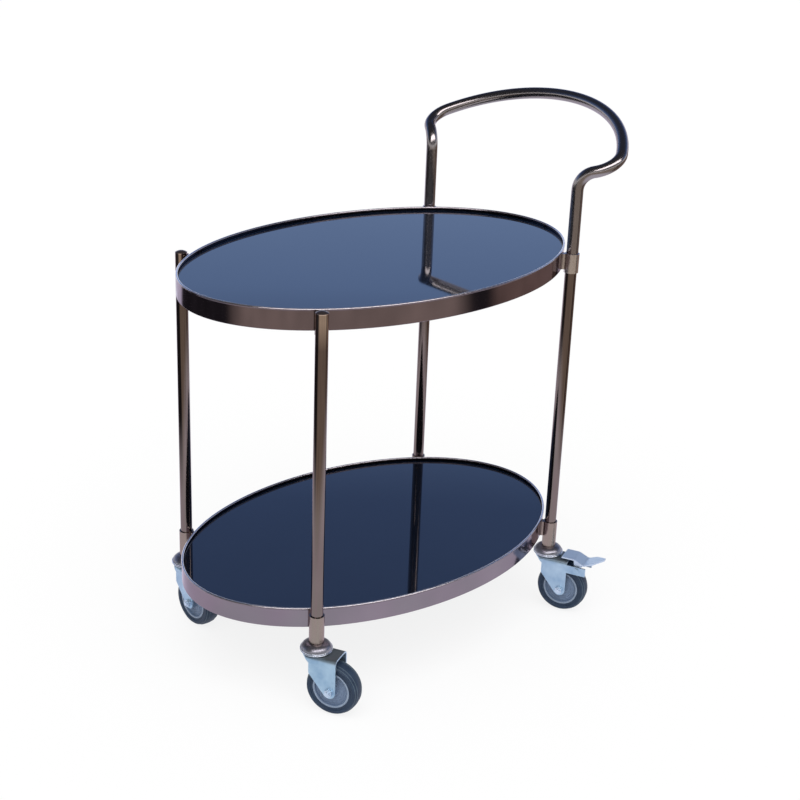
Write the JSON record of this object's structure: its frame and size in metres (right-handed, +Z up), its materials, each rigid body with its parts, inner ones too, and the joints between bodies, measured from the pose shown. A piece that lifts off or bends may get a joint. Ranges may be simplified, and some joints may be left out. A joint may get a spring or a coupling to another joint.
{
  "type": "wine service cart",
  "caption": "Tiered oval serving trolley: dark glass trays set in polished metal bands, tube legs, a raised push handle and swivel casters with toe brakes.",
  "frame": {"origin": "on the floor, under the middle of the bounding box", "axes": "+Z up; +X towards the push handle; +Y to the right of a person pushing, facing -X"},
  "size_m": [0.892, 0.6098, 0.9792],
  "materials": {
    "frame_metal": "polished, bronze tinted",
    "tray_glass": "polished, dark tint",
    "pad_rubber": "matt",
    "zinc_steel": "bright blue zinc plate",
    "bearing_steel": "polished",
    "hub_plastic": "moulded",
    "tyre_rubber": "moulded rubber"
  },
  "bodies": {
    "frame": {"upper_rim": "frame_metal", "lower_rim": "frame_metal", "handle": "frame_metal", "upper_glass": "tray_glass", "lower_glass": "tray_glass", "upper_glass_pads": "pad_rubber", "lower_glass_pads": "pad_rubber", "stem_plugs": "zinc_steel", "front_left_leg": "frame_metal", "front_left_lower_sleeve": "frame_metal", "front_right_leg": "frame_metal", "front_right_lower_sleeve": "frame_metal", "rear_left_leg": "frame_metal", "rear_left_lower_sleeve": "frame_metal", "rear_right_leg": "frame_metal", "rear_right_lower_sleeve": "frame_metal", "front_left_saddle": "frame_metal", "front_left_cap": "frame_metal", "front_right_saddle": "frame_metal", "front_right_cap": "frame_metal", "rear_left_upper_sleeve": "frame_metal", "rear_right_upper_sleeve": "frame_metal", "front_left_stem": "zinc_steel", "front_right_stem": "zinc_steel", "rear_left_stem": "zinc_steel", "rear_right_stem": "zinc_steel"},
    "front_left_swivel": {"front_left_fork": "zinc_steel", "front_left_balls": "bearing_steel", "front_left_axle_bolt": "zinc_steel", "front_left_axle_nut": "zinc_steel", "front_left_axle_bush": "bearing_steel"},
    "front_left_wheel": {"front_left_hub": "hub_plastic", "front_left_tyre": "tyre_rubber"},
    "front_right_swivel": {"front_right_fork": "zinc_steel", "front_right_balls": "bearing_steel", "front_right_axle_bolt": "zinc_steel", "front_right_axle_nut": "zinc_steel", "front_right_axle_bush": "bearing_steel"},
    "front_right_wheel": {"front_right_hub": "hub_plastic", "front_right_tyre": "tyre_rubber"},
    "rear_left_swivel": {"rear_left_fork": "zinc_steel", "rear_left_balls": "bearing_steel", "rear_left_axle_bolt": "zinc_steel", "rear_left_axle_nut": "zinc_steel", "rear_left_axle_bush": "bearing_steel", "rear_left_brake_pin": "zinc_steel"},
    "rear_left_wheel": {"rear_left_hub": "hub_plastic", "rear_left_tyre": "tyre_rubber"},
    "rear_left_pedal": {"rear_left_brake_pedal": "zinc_steel"},
    "rear_right_swivel": {"rear_right_fork": "zinc_steel", "rear_right_balls": "bearing_steel", "rear_right_axle_bolt": "zinc_steel", "rear_right_axle_nut": "zinc_steel", "rear_right_axle_bush": "bearing_steel", "rear_right_brake_pin": "zinc_steel"},
    "rear_right_wheel": {"rear_right_hub": "hub_plastic", "rear_right_tyre": "tyre_rubber"},
    "rear_right_pedal": {"rear_right_brake_pedal": "zinc_steel"}
  },
  "joints": [
    {"name": "front_left_swivel_turn", "type": "hinge", "parent": "frame", "child": "front_left_swivel", "pos_m": [-0.3372, -0.20099, 0.115], "axis": [0, 0, 1], "continuous": true},
    {"name": "front_left_wheel_spin", "type": "hinge", "parent": "front_left_swivel", "child": "front_left_wheel", "pos_m": [-0.32142, -0.23334, 0.05], "axis": [0.8988, 0.4384, 0], "continuous": true},
    {"name": "front_right_swivel_turn", "type": "hinge", "parent": "frame", "child": "front_right_swivel", "pos_m": [-0.3372, 0.20099, 0.115], "axis": [0, 0, 1], "continuous": true},
    {"name": "front_right_wheel_spin", "type": "hinge", "parent": "front_right_swivel", "child": "front_right_wheel", "pos_m": [-0.33594, 0.16501, 0.05], "axis": [0.9994, 0.0349, 0], "continuous": true},
    {"name": "rear_left_swivel_turn", "type": "hinge", "parent": "frame", "child": "rear_left_swivel", "pos_m": [0.25329, -0.19552, 0.115], "axis": [0, 0, 1], "continuous": true},
    {"name": "rear_left_wheel_spin", "type": "hinge", "parent": "rear_left_swivel", "child": "rear_left_wheel", "pos_m": [0.26793, -0.22841, 0.05], "axis": [0.9135, 0.4067, 0], "continuous": true},
    {"name": "rear_left_brake_press", "type": "hinge", "parent": "rear_left_swivel", "child": "rear_left_pedal", "pos_m": [0.28095, -0.25764, 0.1005], "axis": [0.9135, 0.4067, 0], "range_deg": [0, 20]},
    {"name": "rear_right_swivel_turn", "type": "hinge", "parent": "frame", "child": "rear_right_swivel", "pos_m": [0.25329, 0.19552, 0.115], "axis": [0, 0, 1], "continuous": true},
    {"name": "rear_right_wheel_spin", "type": "hinge", "parent": "rear_right_swivel", "child": "rear_right_wheel", "pos_m": [0.23864, 0.22841, 0.05], "axis": [-0.9135, -0.4067, 0], "continuous": true},
    {"name": "rear_right_brake_press", "type": "hinge", "parent": "rear_right_swivel", "child": "rear_right_pedal", "pos_m": [0.22563, 0.25764, 0.1005], "axis": [-0.9135, -0.4067, 0], "range_deg": [0, 20]}
  ]
}
